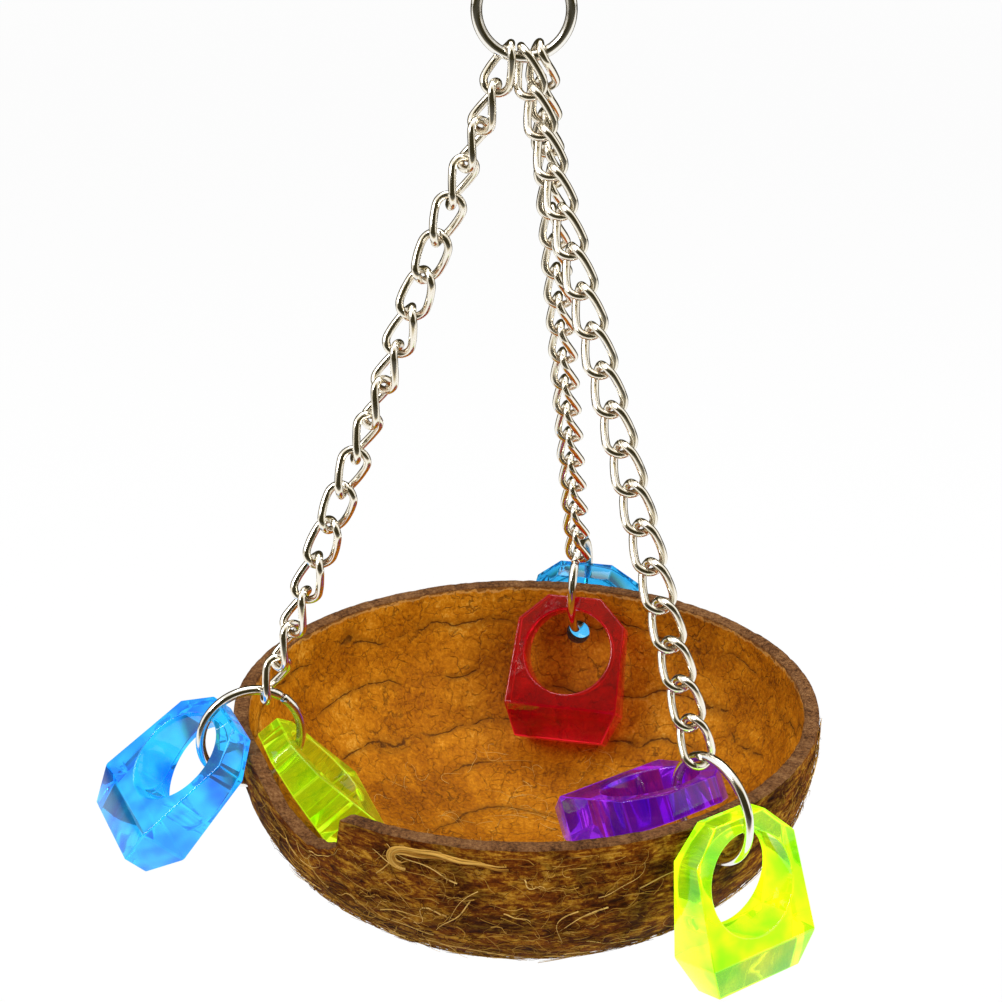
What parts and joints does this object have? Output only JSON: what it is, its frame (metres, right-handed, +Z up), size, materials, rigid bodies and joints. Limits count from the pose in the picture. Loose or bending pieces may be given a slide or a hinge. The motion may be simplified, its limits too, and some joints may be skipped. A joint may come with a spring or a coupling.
{
  "type": "coconut bird nest",
  "caption": "Half coconut shell that hangs level on chains from a ring, as a nest or feeder for small birds, with clear tinted charms on the rings through its rim.",
  "frame": {"origin": "inside top of the top ring, where a hook carries it", "axes": "+Z up, +X to the right of the picture, +Y away from the viewer; the top ring stands in the XZ plane"},
  "size_m": [0.1502, 0.148, 0.1992],
  "materials": {
    "coconut": "raw coconut shell, fibrous outside and scraped inside",
    "ring_wire": "bright plated wire",
    "chain_wire": "bright plated wire",
    "clear_blue": "clear tinted acrylic, moulded and polished",
    "clear_lime": "clear tinted acrylic, moulded and polished",
    "clear_sky": "clear tinted acrylic, moulded and polished",
    "clear_red": "clear tinted acrylic, moulded and polished",
    "clear_purple": "clear tinted acrylic, moulded and polished"
  },
  "bodies": {
    "hanger": {"top_ring": "ring_wire"},
    "first_links": {"top_links": "chain_wire"},
    "nest": {"shell": "coconut", "second_links": "chain_wire", "end_links": "chain_wire", "left_link_03": "chain_wire", "left_link_04": "chain_wire", "left_link_05": "chain_wire", "left_link_06": "chain_wire", "left_link_07": "chain_wire", "left_link_08": "chain_wire", "left_link_09": "chain_wire", "left_link_10": "chain_wire", "left_link_11": "chain_wire", "left_link_12": "chain_wire", "left_link_13": "chain_wire", "left_link_14": "chain_wire", "left_link_15": "chain_wire", "left_link_16": "chain_wire", "left_link_17": "chain_wire", "back_link_03": "chain_wire", "back_link_04": "chain_wire", "back_link_05": "chain_wire", "back_link_06": "chain_wire", "back_link_07": "chain_wire", "back_link_08": "chain_wire", "back_link_09": "chain_wire", "back_link_10": "chain_wire", "back_link_11": "chain_wire", "back_link_12": "chain_wire", "back_link_13": "chain_wire", "back_link_14": "chain_wire", "back_link_15": "chain_wire", "back_link_16": "chain_wire", "back_link_17": "chain_wire", "right_link_03": "chain_wire", "right_link_04": "chain_wire", "right_link_05": "chain_wire", "right_link_06": "chain_wire", "right_link_07": "chain_wire", "right_link_08": "chain_wire", "right_link_09": "chain_wire", "right_link_10": "chain_wire", "right_link_11": "chain_wire", "right_link_12": "chain_wire", "right_link_13": "chain_wire", "right_link_14": "chain_wire", "right_link_15": "chain_wire", "right_link_16": "chain_wire", "right_link_17": "chain_wire"},
    "left_rim_ring": {"left_ring": "ring_wire"},
    "back_rim_ring": {"back_ring": "ring_wire"},
    "right_rim_ring": {"right_ring": "ring_wire"},
    "left_outer_charm_body": {"left_outer_charm": "clear_blue"},
    "left_inner_charm_body": {"left_inner_charm": "clear_lime"},
    "back_outer_charm_body": {"back_outer_charm": "clear_sky"},
    "back_inner_charm_body": {"back_inner_charm": "clear_red"},
    "right_outer_charm_body": {"right_outer_charm": "clear_lime"},
    "right_inner_charm_body": {"right_inner_charm": "clear_purple"}
  },
  "joints": [
    {"name": "side_swing", "type": "hinge", "parent": "hanger", "child": "first_links", "pos_m": [0, 0, -0.0078], "axis": [0, 1, 0], "range_deg": [-40, 40]},
    {"name": "fore_aft_swing", "type": "hinge", "parent": "first_links", "child": "nest", "pos_m": [0, -0.00008, -0.02236], "axis": [1, 0, 0], "range_deg": [-6, 6]},
    {"name": "left_ring_swivel", "type": "hinge", "parent": "nest", "child": "left_rim_ring", "pos_m": [-0.05504, -0.01721, -0.15127], "axis": [0.3556, 0.118, 0.9272], "range_deg": [-3, 1]},
    {"name": "left_outer_charm_swing", "type": "hinge", "parent": "left_rim_ring", "child": "left_outer_charm_body", "pos_m": [-0.06359, -0.01998, -0.14604], "axis": [-0.5953, -0.376, 0.7101], "range_deg": [-15, 6]},
    {"name": "left_inner_charm_swing", "type": "hinge", "parent": "left_rim_ring", "child": "left_inner_charm_body", "pos_m": [-0.0454, -0.01408, -0.1536], "axis": [0.7694, 0.25, 0.5878], "range_deg": [-10, 10]},
    {"name": "back_ring_swivel", "type": "hinge", "parent": "nest", "child": "back_rim_ring", "pos_m": [0.01425, 0.05841, -0.15127], "axis": [-0.0749, -0.3956, 0.9154], "range_deg": [-3, 3]},
    {"name": "back_outer_charm_swing", "type": "hinge", "parent": "back_rim_ring", "child": "back_outer_charm_body", "pos_m": [0.01659, 0.06853, -0.15182], "axis": [0.2114, 0.9156, 0.342], "range_deg": [-15, 15]},
    {"name": "back_inner_charm_swing", "type": "hinge", "parent": "back_rim_ring", "child": "back_inner_charm_body", "pos_m": [0.01201, 0.04868, -0.15418], "axis": [-0.1908, -0.8263, 0.5299], "range_deg": [-6, 6]},
    {"name": "right_ring_swivel", "type": "hinge", "parent": "nest", "child": "right_rim_ring", "pos_m": [0.03605, -0.04636, -0.15127], "axis": [-0.2455, 0.3158, 0.9165], "range_deg": [-3, 3]},
    {"name": "right_outer_charm_swing", "type": "hinge", "parent": "right_rim_ring", "child": "right_outer_charm_body", "pos_m": [0.04219, -0.05466, -0.15255], "axis": [0.5818, -0.7863, 0.2079], "range_deg": [-15, 15]},
    {"name": "right_inner_charm_swing", "type": "hinge", "parent": "right_rim_ring", "child": "right_inner_charm_body", "pos_m": [0.02993, -0.0381, -0.14969], "axis": [-0.2793, 0.3774, 0.8829], "range_deg": [-20, 20]}
  ]
}
